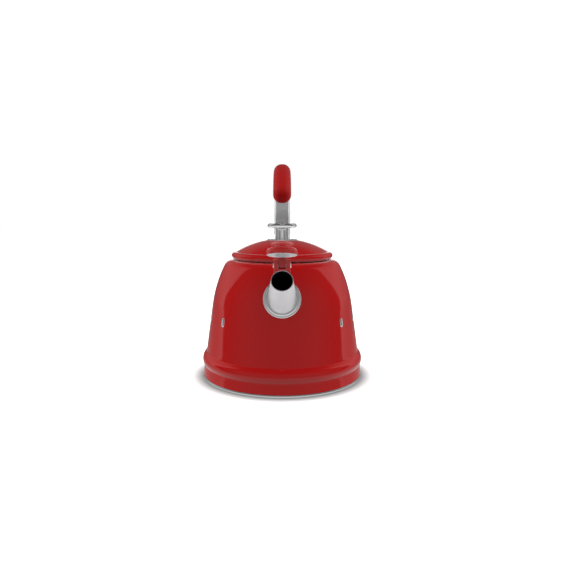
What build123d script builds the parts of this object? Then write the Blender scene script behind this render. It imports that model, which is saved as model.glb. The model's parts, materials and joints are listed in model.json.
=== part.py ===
from build123d import *
from math import asin, cos, degrees, radians, sin, sqrt, tan
import os

# Stovetop whistling kettle. Millimetres, +Z up, the spout points along -Y.
# The origin is the centre of the flat underside that stands on the hob.

# Driving dimensions ---------------------------------------------------------
sheet = 1.1  # pressed steel of the body and the lid

# Body: skirt, bead, straight lower wall, haunch, shoulder and neck
skirt_radius = 93.7
skirt_bottom = 3.4
foot_ring_top = 3.2
skirt_top_radius = 92.5
bead_bottom = 15.6
bead_radius = 94.4
bead_middle = 22.4
wall_radius = 89.9
wall_bottom = 30.5
wall_lean = 8.1  # degrees from upright
wall_height = 54.5
haunch_radius = 155.0
haunch_turn = 18.5
shoulder_radius = 11.0
neck_bore = 51.5
neck_bend = 2.0
neck_depth = 7.0

# Encapsulated base
pan_floor = 7.0
pan_sheet = 1.0
pan_flat_radius = 85.0
foot_ring_radius = 93.9
foot_ring_inner = 88.6
foot_ring_lift = 0.5
foot_ring_round = 1.1
core_radius = 84.0
capsule_sheet = 0.8

# Spout
spout_tilt = 30.5  # degrees above the horizontal
spout_length = 49.6  # from the wall to the mouth, along the axis
spout_inside = 59.5  # from the inner end to the mouth
mouth_radius = 11.0
spout_sheet = 0.9
spout_taper = 5.0  # degrees, half angle
spout_wall_height = 103.4
flange_radius = 20.2
flange_sheet = 1.1
flange_bead_radius = 17.9
flange_bead_width = 1.6
flange_bead_rise = 0.8
flange_reach = 15.0

# Whistle hinge: the pin's place seen from the mouth
pin_rise = 19.5
pin_back = 6.9
pin_radius = 1.5
pin_length = 18.3
pin_head_radius = 2.4
pin_head_round = 0.6
open_angle = 73.0  # from shut on the mouth to the rest position
running_clearance = 0.05

# Bracket
bracket_width = 16.4
slot_width = 8.0
ear_radius = 6.4
bracket_floor = 13.3  # above the spout's axis
bracket_front = 1.0  # behind the mouth
bracket_length = 18.0
bracket_skirt = 6.0
stud_back = 14.5
stud_radius = 1.4
stud_head_radius = 2.4
stud_head_rise = 0.9
stud_grip = 2.4

# Whistle cap
cap_radius = 14.75
cap_gap = 0.3
cap_height = 6.7
cap_edge_round = 3.0
cap_wall = 1.4
cap_plate_thickness = 0.9
cap_plate_inset = 0.15
boss_radius = 6.4
boss_rise = 3.0
boss_round = 1.2
boss_bore = 3.6
barrel_radius = 7.8
barrel_sheet = 0.5
whistle_sheet = 0.5
whistle_hole = 1.5
whistle_inset = 0.6
whistle_chamber = 3.4
tongue_width = 7.5
tongue_rise = 14.0
tongue_reach = 4.0
knuckle_radius = 5.2

# Lid
rim_tube_radius = 4.0
rim_middle_radius = 55.2
rim_join_inset = 0.8
rim_tuck = 30.0  # degrees the rolled edge goes on past its lowest point
lid_gap = 0.4
dome_radius = 107.0
dome_top = 162.1
seat_radius = 16.8
collar_radius = 50.0
collar_sheet = 0.8
collar_bottom = 130.5
seal_sheet = 1.1
seal_lip = 2.2
seal_bottom = 132.5

# Knob
plate_radius = 17.3
plate_thickness = 1.4
plate_round = 0.6
stem_radius = 4.8
knob_radius = 17.0
knob_thickness = 5.2
knob_top = 180.0
knob_flare = 3.0
screw_radius = 2.0
screw_depth = 9.0
screw_head_radius = 3.8
screw_head_height = 2.6
screw_head_round = 0.8
washer_radius = 6.0
washer_thickness = 1.0

# Handle: one line in the YZ plane made of four bends
handle_start = (71.5, 122.6)
handle_heading = 35.0
strap_bends = ((20.0, 58.0), (430.0, 6.0), (62.0, 26.0))
grip_bends = ((62.0, 55.0), (90.0, 42.0))
strap_width = 22.0
strap_side_angle = 89.2
strap_thickness = 7.0
channel_width = 15.0
channel_depth = 1.3
grip_width = 19.5
grip_depth = 22.0
grip_corner = 9.0
grip_end_round = 8.0
grip_end_length = 9.0
tang_width = 10.0
tang_thickness = 5.0
tang_bends = ((62.0, 55.0), (90.0, 33.0))
foot_height = 26.0
foot_tip = 15.0
foot_reach = 12.0
pad_height = 122.0
pad_width = 26.0
pad_length = 32.0
pad_corner = 4.0
pad_sheet = 1.6
lug_width = 10.0
lug_height = 14.0
lug_length = 12.0
rivet_radius = 1.6
rivet_head_radius = 2.8
rivet_head_rise = 0.9
rivet_spacing = 7.4

# Side trim: four plain pills on each side
trim_angles = (51.0, 77.0, 103.0, 129.0)
trim_height = 72.5
trim_length = 9.6
trim_width = 4.6
trim_rise = 0.6

# Worked out from the above --------------------------------------------------
far = 200.0
lean = radians(wall_lean)
wall_start = Vector(wall_radius, wall_bottom)
wall_normal = Vector(cos(lean), sin(lean))
wall_end = wall_start + Vector(-sin(lean), cos(lean)) * (wall_height / cos(lean))
haunch_centre = wall_end - wall_normal * haunch_radius
haunch_end_angle = radians(wall_lean + haunch_turn)
haunch_end = haunch_centre + Vector(cos(haunch_end_angle), sin(haunch_end_angle)) * haunch_radius
shoulder_turn = 90.0 - wall_lean - haunch_turn
neck_top = haunch_end.Y + shoulder_radius * (1 - sin(haunch_end_angle))


def haunch_reach(height):
    # Radius of the body's outer surface at a height on the haunch.
    rise = height - haunch_centre.Y
    return haunch_centre.X + sqrt(haunch_radius**2 - rise**2)


def haunch_slope(height):
    # How far the surface's normal points up there, in degrees.
    return degrees(asin((height - haunch_centre.Y) / haunch_radius))


def tilted_plane(place, angle):
    # A plane whose normal points forward and up by the angle, with its y toward the pin.
    tilt = radians(angle)
    return Plane(origin=place, x_dir=(1, 0, 0), z_dir=(0, -cos(tilt), sin(tilt)))


def side_plane(front):
    # The upright plane through a tilted plane's axis: x forward along the axis, y toward the pin.
    return Plane(origin=front.origin, x_dir=front.z_dir, z_dir=front.x_dir * -1)


spout_root = Vector(0, -haunch_reach(spout_wall_height), spout_wall_height)
tilt = radians(spout_tilt)
mouth_centre = spout_root + Vector(0, -cos(tilt), sin(tilt)) * spout_length
mouth = tilted_plane(mouth_centre, spout_tilt)
mouth_side = side_plane(mouth)
pin_place = mouth.from_local_coords(Vector(0, pin_rise, -pin_back))
flange = tilted_plane(spout_root, haunch_slope(spout_wall_height))
stud_plane = Plane(
    origin=mouth_side.from_local_coords(Vector(-stud_back, bracket_floor, 0)),
    x_dir=mouth_side.z_dir,
    z_dir=mouth_side.y_dir,
)

cap_flat = tilted_plane((0, 0, 0), spout_tilt + open_angle)
cap_origin = pin_place - cap_flat.from_local_coords(Vector(0, pin_rise, -pin_back))
cap = tilted_plane(cap_origin, spout_tilt + open_angle)
cap_side = side_plane(cap)

dome_centre = dome_top - dome_radius
rim_bottom = neck_top + lid_gap
rim_middle = rim_bottom + rim_tube_radius
seat_height = dome_centre + sqrt(dome_radius**2 - seat_radius**2)


def dome_height(radius, depth):
    # Height of the lid's dome at a radius, on a surface that lies deeper than the outside.
    return dome_centre + sqrt((dome_radius - depth) ** 2 - radius**2)


def save(piece, name):
    piece.part.label = name
    export_step(piece.part, f"parts/{name}.step")


def wall_outline(skin):
    # Straight wall, haunch and shoulder, each raised by the skin along its normal.
    straight = Line(wall_start + wall_normal * skin, wall_end + wall_normal * skin)
    haunch = JernArc(straight @ 1, straight % 1, haunch_radius + skin, haunch_turn)
    shoulder = JernArc(haunch @ 1, haunch % 1, shoulder_radius + skin, shoulder_turn)
    return shoulder @ 1


def wall_solid(skin):
    # Everything inside the body's wall, raised by the skin: what pieces on the wall are cut with.
    with BuildPart(mode=Mode.PRIVATE) as inside:
        with BuildSketch(Plane.XZ):
            with BuildLine():
                top = wall_outline(skin)
                foot = wall_start + wall_normal * skin
                Polyline(top, (0, top.Y), (0, foot.Y), foot)
            make_face()
        revolve(axis=Axis.Z)
    return inside.part


def spout_cone(skin, length):
    # Solid cone from the mouth back along the spout, its radius smaller by the skin.
    with BuildPart(mode=Mode.PRIVATE) as cone:
        with BuildSketch(mouth_side):
            with BuildLine():
                back_radius = mouth_radius + length * tan(radians(spout_taper))
                Polyline(
                    (0, 0),
                    (0, mouth_radius - skin),
                    (-length, back_radius - skin),
                    (-length, 0),
                    close=True,
                )
            make_face()
        revolve(axis=Axis(mouth.origin, mouth.z_dir))
    return cone.part


os.makedirs("parts", exist_ok=True)
body_inside = wall_solid(0)
spout_outside = spout_cone(0, spout_inside)
spout_bore = spout_cone(spout_sheet, spout_inside)

# Body shell: skirt, bead, wall, shoulder and a turned-in neck
with BuildPart() as body_shell:
    with BuildSketch(Plane.XZ):
        with BuildLine():
            skirt = Line((skirt_radius, skirt_bottom), (skirt_top_radius, bead_bottom))
            ThreePointArc(skirt @ 1, (bead_radius, bead_middle), wall_start)
            lip_start = wall_outline(0)
            lip = Line(lip_start, (neck_bore + neck_bend, neck_top))
            bend = JernArc(lip @ 1, lip % 1, neck_bend, 90)
            Line(bend @ 1, (neck_bore, neck_top - neck_depth))
            offset(amount=sheet, side=Side.LEFT)
        make_face()
    revolve(axis=Axis.Z)
    add(spout_outside, mode=Mode.SUBTRACT)
save(body_shell, "body_shell")

# Base pan: the kettle's floor, turned down into the bright foot ring
with BuildPart() as base_pan:
    with BuildSketch(Plane.XZ):
        with BuildLine():
            slope = pan_floor - foot_ring_top
            Polyline(
                (foot_ring_radius, foot_ring_top),
                (foot_ring_inner + pan_sheet, foot_ring_top),
                (foot_ring_inner + pan_sheet - slope, pan_floor),
                (0, pan_floor),
                (0, pan_floor - pan_sheet),
                (pan_flat_radius, pan_floor - pan_sheet),
                (foot_ring_inner, foot_ring_lift),
                (foot_ring_radius, foot_ring_lift),
                close=True,
            )
        make_face()
    revolve(axis=Axis.Z)
    ring_edges = base_pan.edges().filter_by(GeomType.CIRCLE).sort_by(SortBy.RADIUS)[-2:]
    fillet(ring_edges, foot_ring_round)
save(base_pan, "base_pan")

# Base core: aluminium disc that spreads the heat
with BuildPart() as base_core:
    with BuildSketch(Plane.XY.offset(capsule_sheet)):
        Circle(core_radius)
    extrude(amount=pan_floor - pan_sheet - capsule_sheet)
save(base_core, "base_core")

# Base capsule: magnetic steel cup around the core
with BuildPart() as base_capsule:
    with BuildSketch(Plane.XY):
        Circle(core_radius + capsule_sheet)
    extrude(amount=pan_floor - pan_sheet)
    with BuildSketch(Plane.XY.offset(capsule_sheet)):
        Circle(core_radius)
    extrude(amount=pan_floor, mode=Mode.SUBTRACT)
save(base_capsule, "base_capsule")

# Spout tube: a straight tapered tube, open at both ends, drilled for the bracket's rivet
with BuildPart() as spout_tube:
    add(spout_outside)
    add(spout_bore, mode=Mode.SUBTRACT)
    with BuildSketch(stud_plane):
        Circle(stud_radius)
    extrude(amount=-stud_grip, mode=Mode.SUBTRACT)
save(spout_tube, "spout_tube")

# Spout flange: a washer that follows the wall, with a raised bead
flange_skin = wall_solid(flange_sheet)
bead_skin = wall_solid(flange_sheet + flange_bead_rise)

with BuildPart() as flange_bead:
    with BuildSketch(flange):
        Circle(flange_bead_radius)
        Circle(flange_bead_radius - flange_bead_width, mode=Mode.SUBTRACT)
    extrude(amount=flange_reach, both=True)
    add(bead_skin, mode=Mode.INTERSECT)

with BuildPart() as spout_flange:
    with BuildSketch(flange):
        Circle(flange_radius)
    extrude(amount=flange_reach, both=True)
    add(flange_skin, mode=Mode.INTERSECT)
    add(flange_bead.part)
    add(body_inside, mode=Mode.SUBTRACT)
    add(spout_outside, mode=Mode.SUBTRACT)
save(spout_flange, "spout_flange")

# Hinge bracket: a saddle on the spout with two ears for the pin
pin_spot = (-pin_back, pin_rise)

with BuildPart() as hinge_bracket:
    with BuildSketch(mouth_side):
        with Locations(pin_spot):
            Circle(ear_radius)
        with Locations((-bracket_front, bracket_floor)):
            Rectangle(bracket_length, bracket_skirt, align=(Align.MAX, Align.MAX))
        make_hull()
    extrude(amount=bracket_width / 2, both=True)
    with BuildSketch(mouth_side):
        with Locations((0, bracket_floor)):
            Rectangle(far, far, align=(Align.CENTER, Align.MIN))
    extrude(amount=slot_width / 2, both=True, mode=Mode.SUBTRACT)
    with BuildSketch(mouth_side):
        with Locations(pin_spot):
            Circle(pin_radius)
    extrude(amount=bracket_width, both=True, mode=Mode.SUBTRACT)
    with BuildSketch(stud_plane):
        Circle(stud_radius)
    extrude(amount=bracket_skirt, both=True, mode=Mode.SUBTRACT)
    add(spout_outside, mode=Mode.SUBTRACT)
save(hinge_bracket, "hinge_bracket")

# Bracket rivet: through the saddle and the spout's wall
with BuildPart() as bracket_rivet:
    with BuildSketch(stud_plane):
        Circle(stud_head_radius)
    extrude(amount=stud_head_rise)
    with BuildSketch(stud_plane):
        Circle(stud_radius)
    extrude(amount=-stud_grip)
    with BuildSketch(stud_plane.offset(-stud_grip)):
        Circle(stud_head_radius)
    extrude(amount=-stud_head_rise)
save(bracket_rivet, "bracket_rivet")

# Hinge pin: a plain rod with a low head outside each ear
with BuildPart() as hinge_pin:
    with BuildSketch(mouth_side):
        with Locations(pin_spot):
            Circle(pin_radius)
    extrude(amount=pin_length / 2, both=True)
    for side in (-1, 1):
        with BuildSketch(mouth_side.offset(side * bracket_width / 2)):
            with Locations(pin_spot):
                Circle(pin_head_radius)
        extrude(amount=side * (pin_length - bracket_width) / 2)
    fillet(hinge_pin.edges().filter_by(GeomType.CIRCLE).sort_by(Axis.X)[0], pin_head_round)
    fillet(hinge_pin.edges().filter_by(GeomType.CIRCLE).sort_by(Axis.X)[-1], pin_head_round)
save(hinge_pin, "hinge_pin")

# Whistle cap cover: hollow puck with a steam boss and a tongue to the hinge
shell_end = cap_gap + cap_height
boss_end = shell_end + boss_rise
plate_end = cap_gap + cap_plate_thickness
cap_axis = Axis(cap.origin, cap.z_dir)

with BuildPart() as cap_cover:
    with BuildSketch(cap_side):
        with BuildLine():
            edge = Line((plate_end, cap_radius), (shell_end - cap_edge_round, cap_radius))
            shoulder = JernArc(edge @ 1, (1, 0), cap_edge_round, -90)
            Polyline(shoulder @ 1, (shell_end, boss_radius), (boss_end - boss_round, boss_radius))
            boss_edge = JernArc((boss_end - boss_round, boss_radius), (1, 0), boss_round, -90)
            Polyline(
                boss_edge @ 1,
                (boss_end, boss_bore),
                (boss_end - cap_wall, boss_bore),
                (boss_end - cap_wall, boss_radius - cap_wall),
                (shell_end - cap_wall, boss_radius - cap_wall),
                (shell_end - cap_wall, cap_radius - cap_wall),
                (plate_end, cap_radius - cap_wall),
                (plate_end, cap_radius),
            )
        make_face()
    revolve(axis=cap_axis)
    with BuildSketch(cap_side):
        with Locations(pin_spot):
            Circle(knuckle_radius)
        with Locations((plate_end, tongue_rise)):
            Rectangle(tongue_reach, cap_radius - tongue_rise, align=(Align.MIN, Align.MIN))
        make_hull()
    extrude(amount=tongue_width / 2, both=True)
    with BuildSketch(cap):
        Circle(cap_radius)
    extrude(amount=plate_end, mode=Mode.SUBTRACT)
    with BuildSketch(cap_side):
        with Locations(pin_spot):
            Circle(pin_radius + running_clearance)
    extrude(amount=tongue_width, both=True, mode=Mode.SUBTRACT)
save(cap_cover, "cap_cover")


def cap_disc(name, radius, bore, start, thickness):
    # A flat ring square to the cap's axis.
    with BuildPart() as disc:
        with BuildSketch(cap.offset(start)):
            Circle(radius)
            Circle(bore, mode=Mode.SUBTRACT)
        extrude(amount=thickness)
    save(disc, name)


barrel_bore = barrel_radius - barrel_sheet
cap_disc("cap_plate", cap_radius - cap_plate_inset, barrel_radius, cap_gap, cap_plate_thickness)
cap_disc("whistle_barrel", barrel_radius, barrel_bore, cap_gap, shell_end - cap_wall - cap_gap)
cap_disc("whistle_lower_disc", barrel_bore, whistle_hole, cap_gap + whistle_inset, whistle_sheet)
cap_disc("whistle_upper_disc", barrel_bore, whistle_hole, plate_end + whistle_chamber, whistle_sheet)

# Lid shell: shallow dome with a rolled rim and a flat seat for the knob
rim_join_radius = rim_middle_radius - rim_join_inset
rim_end_radius = rim_middle_radius - rim_tube_radius * sin(radians(rim_tuck))
rim_end_height = rim_middle - rim_tube_radius * cos(radians(rim_tuck))

with BuildPart() as lid_shell:
    with BuildSketch(Plane.XZ):
        with BuildLine():
            seat = Line((screw_radius, seat_height), (seat_radius, seat_height))
            halfway = (seat_radius + rim_join_radius) / 2
            dome = ThreePointArc(
                seat @ 1,
                (halfway, dome_height(halfway, 0)),
                (rim_join_radius, dome_height(rim_join_radius, 0)),
            )
            ThreePointArc(
                dome @ 1,
                (rim_middle_radius + rim_tube_radius, rim_middle),
                (rim_end_radius, rim_end_height),
            )
            offset(amount=sheet, side=Side.RIGHT)
        make_face()
    revolve(axis=Axis.Z)
save(lid_shell, "lid_shell")

# Lid collar: the skirt that drops into the neck
with BuildPart() as lid_collar:
    with BuildSketch(Plane.XZ):
        with BuildLine():
            inner = collar_radius - collar_sheet
            Polyline(
                (collar_radius, collar_bottom),
                (collar_radius, dome_height(collar_radius, sheet)),
                (inner, dome_height(inner, sheet)),
                (inner, collar_bottom),
                close=True,
            )
        make_face()
    revolve(axis=Axis.Z)
save(lid_collar, "lid_collar")

# Lid seal: silicone ring around the collar, with a lip over the neck
with BuildPart() as lid_seal:
    with BuildSketch(Plane.XZ):
        with BuildLine():
            lip_bottom = neck_top + cap_gap
            Polyline(
                (collar_radius, seal_bottom),
                (collar_radius + seal_sheet, seal_bottom),
                (collar_radius + seal_sheet, lip_bottom),
                (collar_radius + seal_lip, lip_bottom),
                (collar_radius + seal_lip, lip_bottom + seal_sheet),
                (collar_radius, lip_bottom + seal_sheet),
                close=True,
            )
        make_face()
    revolve(axis=Axis.Z)
save(lid_seal, "lid_seal")

# Knob plate: bright disc between the lid and the knob
with BuildPart() as knob_plate:
    with BuildSketch(Plane.XY.offset(seat_height)):
        Circle(plate_radius)
        Circle(screw_radius, mode=Mode.SUBTRACT)
    extrude(amount=plate_thickness)
    fillet(knob_plate.edges().group_by(Axis.Z)[-1].sort_by(SortBy.RADIUS)[-1], plate_round)
save(knob_plate, "knob_plate")

# Knob: slim stem that flares into a flat disc with a round edge
stem_bottom = seat_height + plate_thickness
disc_bottom = knob_top - knob_thickness

with BuildPart() as knob:
    with BuildSketch(Plane.XZ):
        with BuildLine():
            stem = Line((stem_radius, stem_bottom), (stem_radius, disc_bottom - knob_flare))
            flare = JernArc(stem @ 1, stem % 1, knob_flare, -90)
            under = Line(flare @ 1, (knob_radius - knob_thickness / 2, disc_bottom))
            edge = ThreePointArc(
                under @ 1,
                (knob_radius, knob_top - knob_thickness / 2),
                (knob_radius - knob_thickness / 2, knob_top),
            )
            Polyline(edge @ 1, (0, knob_top), (0, stem_bottom), stem @ 0)
        make_face()
    revolve(axis=Axis.Z)
    with BuildSketch(Plane.XY.offset(stem_bottom)):
        Circle(screw_radius)
    extrude(amount=screw_depth, mode=Mode.SUBTRACT)
save(knob, "knob")

# Knob washer and screw, inside the lid
washer_top = seat_height - sheet
washer_bottom = washer_top - washer_thickness

with BuildPart() as knob_washer:
    with BuildSketch(Plane.XY.offset(washer_bottom)):
        Circle(washer_radius)
        Circle(screw_radius, mode=Mode.SUBTRACT)
    extrude(amount=washer_thickness)
save(knob_washer, "knob_washer")

with BuildPart() as knob_screw:
    with BuildSketch(Plane.XY.offset(washer_bottom)):
        Circle(screw_radius)
    extrude(amount=stem_bottom + screw_depth - washer_bottom)
    with BuildSketch(Plane.XY.offset(washer_bottom)):
        Circle(screw_head_radius)
    extrude(amount=-screw_head_height)
    fillet(knob_screw.edges().group_by(Axis.Z)[0], screw_head_round)
save(knob_screw, "knob_screw")

# Handle mount: pad welded on the rear haunch, with a lug that carries the arm
pad_skin = wall_solid(pad_sheet)
pad_slope = radians(haunch_slope(pad_height))
pad_place = Vector(0, haunch_reach(pad_height), pad_height)
pad_plane = Plane(pad_place, x_dir=(1, 0, 0), z_dir=(0, cos(pad_slope), sin(pad_slope)))
lug_plane = Plane(pad_place, x_dir=pad_plane.z_dir, z_dir=(1, 0, 0))

with BuildPart() as handle_lug:
    with BuildSketch(lug_plane):
        Rectangle(2 * (pad_sheet + lug_length), lug_height)
    extrude(amount=lug_width / 2, both=True)

with BuildPart() as handle_mount:
    with BuildSketch(pad_plane):
        RectangleRounded(pad_width, pad_length, pad_corner)
    extrude(amount=pad_width, both=True)
    add(pad_skin, mode=Mode.INTERSECT)
    add(handle_lug.part)
    add(body_inside, mode=Mode.SUBTRACT)
    with BuildSketch(lug_plane):
        with Locations((pad_sheet + lug_length / 2, 0)):
            with GridLocations(0, rivet_spacing, 1, 2):
                Circle(rivet_radius)
    extrude(amount=lug_width, both=True, mode=Mode.SUBTRACT)
save(handle_mount, "handle_mount")


def bend_chain(start, direction, bends):
    # Arcs joined end to end, each a radius and a turn.
    for radius, turn in bends:
        arc = JernArc(start, direction, radius, turn)
        start = arc @ 1
        direction = arc % 1
    return start, direction


def square_plane(place, direction):
    # The plane square to the handle's line, its y away from the side the hand wraps.
    return Plane(place, x_dir=(1, 0, 0), z_dir=direction)


heading = (cos(radians(handle_heading)), sin(radians(handle_heading)))
with BuildLine(Plane.YZ) as strap_line:
    strap_end, strap_direction = bend_chain(handle_start, heading, strap_bends)
with BuildLine(Plane.YZ) as grip_line:
    grip_end, grip_direction = bend_chain(strap_end, strap_direction, grip_bends)
with BuildLine(Plane.YZ) as tang_line:
    bend_chain(strap_end, strap_direction, tang_bends)

# Handle tang: the arm's narrow core that runs inside the grip
with BuildPart() as handle_tang:
    with BuildSketch(square_plane(strap_end, strap_direction)):
        Rectangle(tang_width, tang_thickness)
    sweep(path=tang_line.line)

# Handle arm: channelled strap on a solid foot, narrowing toward the grip
with BuildPart() as handle_arm:
    with BuildSketch(square_plane(strap_line.line @ 0, strap_line.line % 0)):
        Rectangle(strap_width, strap_thickness)
        with Locations((0, -strap_thickness / 2)):
            Rectangle(channel_width, 2 * channel_depth, mode=Mode.SUBTRACT)
    sweep(path=strap_line.line)
    with BuildSketch(lug_plane):
        with BuildLine():
            Polyline(
                (-pad_sheet, -foot_height / 2),
                (foot_reach, -foot_tip / 2),
                (foot_reach, foot_tip / 2),
                (-pad_sheet, foot_height / 2),
                close=True,
            )
        make_face()
    extrude(amount=strap_width / 2, both=True)
    with BuildSketch(Plane.XZ):
        with Locations((0, pad_height - foot_height)):
            Trapezoid(strap_width, far, strap_side_angle, align=(Align.CENTER, Align.MIN))
    extrude(amount=-far, mode=Mode.INTERSECT)
    add(handle_tang.part)
    add(pad_skin, mode=Mode.SUBTRACT)
    add(handle_lug.part, mode=Mode.SUBTRACT)
    with BuildSketch(lug_plane):
        with Locations((pad_sheet + lug_length / 2, 0)):
            with GridLocations(0, rivet_spacing, 1, 2):
                Circle(rivet_radius)
    extrude(amount=strap_width, both=True, mode=Mode.SUBTRACT)
save(handle_arm, "handle_arm")

# Handle rivets: two across the foot and the lug
with BuildPart() as handle_rivets:
    for side in (-1, 1):
        with BuildSketch(lug_plane):
            with Locations((pad_sheet + lug_length / 2, 0)):
                with GridLocations(0, rivet_spacing, 1, 2):
                    Circle(rivet_radius)
        extrude(amount=side * strap_width / 2)
        with BuildSketch(lug_plane.offset(side * strap_width / 2)):
            with Locations((pad_sheet + lug_length / 2, 0)):
                with GridLocations(0, rivet_spacing, 1, 2):
                    Circle(rivet_head_radius)
        extrude(amount=side * rivet_head_rise)
save(handle_rivets, "handle_rivets")

# Handle grip: soft moulding around the tang, with a round front end
with BuildPart() as handle_grip:
    with BuildSketch(square_plane(strap_end, strap_direction)):
        RectangleRounded(grip_width, grip_depth, grip_corner)
    sweep(path=grip_line.line)
    with BuildSketch(square_plane(grip_end, grip_direction)):
        RectangleRounded(grip_width, grip_depth, grip_corner)
    extrude(amount=grip_end_length)
    front = handle_grip.faces().sort_by(Axis.Y)[0]
    fillet(front.edges(), grip_end_round)
    add(handle_tang.part, mode=Mode.SUBTRACT)
save(handle_grip, "handle_grip")


def trim_plane(side, angle):
    # A plane lying on the straight wall at an angle from the spout.
    reach = wall_radius - (trim_height - wall_bottom) * tan(lean)
    across = side * sin(radians(angle))
    along = -cos(radians(angle))
    return Plane(
        origin=(across * reach, along * reach, trim_height),
        x_dir=(-along, across, 0),
        z_dir=(across * cos(lean), along * cos(lean), sin(lean)),
    )


# Side trim: plain upright pills on both flanks
trim_skin = wall_solid(trim_rise)
trim_planes = [trim_plane(side, angle) for side in (-1, 1) for angle in trim_angles]

with BuildPart() as side_trim:
    with BuildSketch(*trim_planes):
        SlotOverall(trim_length, trim_width, rotation=90)
    extrude(amount=trim_width, both=True)
    add(trim_skin, mode=Mode.INTERSECT)
    add(body_inside, mode=Mode.SUBTRACT)
save(side_trim, "side_trim")
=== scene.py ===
# Stovetop whistling kettle: the finished surfaces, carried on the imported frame.
# Piece sizes are in millimetres and meshes in metres. The spout points along -Y.
import json
import bmesh
import bpy
import numpy as np
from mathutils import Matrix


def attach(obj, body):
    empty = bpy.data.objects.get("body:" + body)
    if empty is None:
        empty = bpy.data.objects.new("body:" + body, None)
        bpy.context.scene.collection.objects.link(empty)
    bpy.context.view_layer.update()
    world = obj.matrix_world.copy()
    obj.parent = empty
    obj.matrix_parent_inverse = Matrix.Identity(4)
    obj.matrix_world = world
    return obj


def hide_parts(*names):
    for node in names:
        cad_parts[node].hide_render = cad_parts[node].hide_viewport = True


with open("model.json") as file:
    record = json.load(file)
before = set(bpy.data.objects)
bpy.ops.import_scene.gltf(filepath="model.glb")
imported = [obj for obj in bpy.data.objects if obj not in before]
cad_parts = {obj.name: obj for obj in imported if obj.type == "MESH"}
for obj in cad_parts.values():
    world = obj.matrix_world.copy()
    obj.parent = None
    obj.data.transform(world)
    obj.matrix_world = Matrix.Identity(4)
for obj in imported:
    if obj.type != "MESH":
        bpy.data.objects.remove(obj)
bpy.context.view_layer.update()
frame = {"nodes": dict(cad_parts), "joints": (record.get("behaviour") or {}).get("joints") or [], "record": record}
print("frame loaded:", len(frame["nodes"]), "nodes")

mm = 0.001
xAxis = np.array([1.0, 0.0, 0.0])
zAxis = np.array([0.0, 0.0, 1.0])

hinge = next(joint for joint in frame["joints"] if joint["name"] == "whistle_hinge")
pinPlace = np.array(hinge["pos_m"]) / mm
openAngle = hinge["range_deg"][1]


# Closed outline with round corners: every corner becomes an arc that touches both its sides,
# with a holding point just before and after it so that the flats stay flat.
def roundedOutline(corners, radii, steps=7, hold=0.12):
    corner = np.array(corners, float)
    radius = np.maximum(np.broadcast_to(np.array(radii, float), len(corner)), 1e-4)
    back = np.roll(corner, 1, axis=0) - corner
    ahead = np.roll(corner, -1, axis=0) - corner
    back /= np.linalg.norm(back, axis=1, keepdims=True)
    ahead /= np.linalg.norm(ahead, axis=1, keepdims=True)
    half = 0.5 * np.arccos(np.clip((back * ahead).sum(1), -0.9999, 0.9999))
    middle = back + ahead
    middle /= np.linalg.norm(middle, axis=1, keepdims=True)
    centre = corner + middle * (radius / np.sin(half))[:, None]
    touch = (radius / np.tan(half))[:, None]
    turn = (np.pi - 2 * half)[:, None, None]
    t = np.linspace(0, 1, steps)[None, :, None]
    start = (corner + back * touch - centre)[:, None]
    end = (corner + ahead * touch - centre)[:, None]
    arc = centre[:, None] + (start * np.sin((1 - t) * turn) + end * np.sin(t * turn)) / np.sin(turn)
    before = (corner + back * (touch + hold))[:, None]
    after = (corner + ahead * (touch + hold))[:, None]
    return np.concatenate([before, arc, after], axis=1).reshape(-1, 2)


# Outline of round discs with a string pulled tight round them: in each direction take the disc
# that reaches furthest. Gives the points and their outward directions.
def stringOutline(centres, radii, count=96):
    centre = np.array(centres, float)
    radius = np.array(radii, float)
    angle = np.linspace(0, 2 * np.pi, count, endpoint=False)
    outward = np.stack([np.cos(angle), np.sin(angle)], axis=1)
    reach = centre @ outward.T + radius[:, None]
    furthest = np.argmax(reach, axis=0)
    return centre[furthest] + outward * radius[furthest][:, None], outward


# Arc of a circle from one angle to another, in degrees.
def arcOf(centre, radius, first, last, count):
    angle = np.radians(np.linspace(first, last, count))
    return np.array(centre) + radius * np.stack([np.cos(angle), np.sin(angle)], axis=1)


# Circle through three points, sampled from the first to the last.
def arcThrough(first, middle, last, count):
    a, b, c = (np.array(p, float) for p in (first, middle, last))
    rows = 2 * np.array([b - a, c - a])
    centre = np.linalg.solve(rows, [b @ b - a @ a, c @ c - a @ a])
    angles = np.unwrap([np.arctan2(*(p - centre)[::-1]) for p in (a, b, c)])
    return arcOf(centre, np.linalg.norm(a - centre), *np.degrees(angles[[0, 2]]), count)


# Path resampled at even steps and averaged over a short reach, so that its corners turn soft.
def softened(path, step, reach):
    gap = np.linalg.norm(np.diff(path, axis=0), axis=1)
    path = path[np.concatenate([[True], gap > 1e-6])]
    length = np.concatenate([[0], np.cumsum(np.linalg.norm(np.diff(path, axis=0), axis=1))])
    even = np.linspace(0, length[-1], int(length[-1] / step) + 2)
    points = np.stack([np.interp(even, length, axis) for axis in path.T], axis=1)
    span = max(int(reach / step), 1)
    window = np.hanning(2 * span + 3)[1:-1]
    window /= window.sum()
    ahead = 2 * points[-1] - points[-2:-span - 2:-1]
    before = 2 * points[0] - points[span:0:-1]
    padded = np.concatenate([before, points, ahead])
    return np.stack([np.convolve(axis, window, mode="valid") for axis in padded.T], axis=1)


# The same path moved sideways: each point goes along the path's left-hand normal.
def shifted(path, distance):
    run = np.gradient(path, axis=0)
    run /= np.linalg.norm(run, axis=1, keepdims=True)
    return path + distance * np.stack([-run[:, 1], run[:, 0]], axis=1)


# Outline (r, h) turned about an axis: angle a puts it at r sin a, -r cos a, h.
def turned(outline, turns=192):
    angle = np.linspace(0, 2 * np.pi, turns, endpoint=False)
    radius, height = np.array(outline).T[:, :, None]
    across = radius * np.sin(angle)
    along = -radius * np.cos(angle)
    return np.stack([across, along, np.broadcast_to(height, across.shape)], axis=2)


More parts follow.
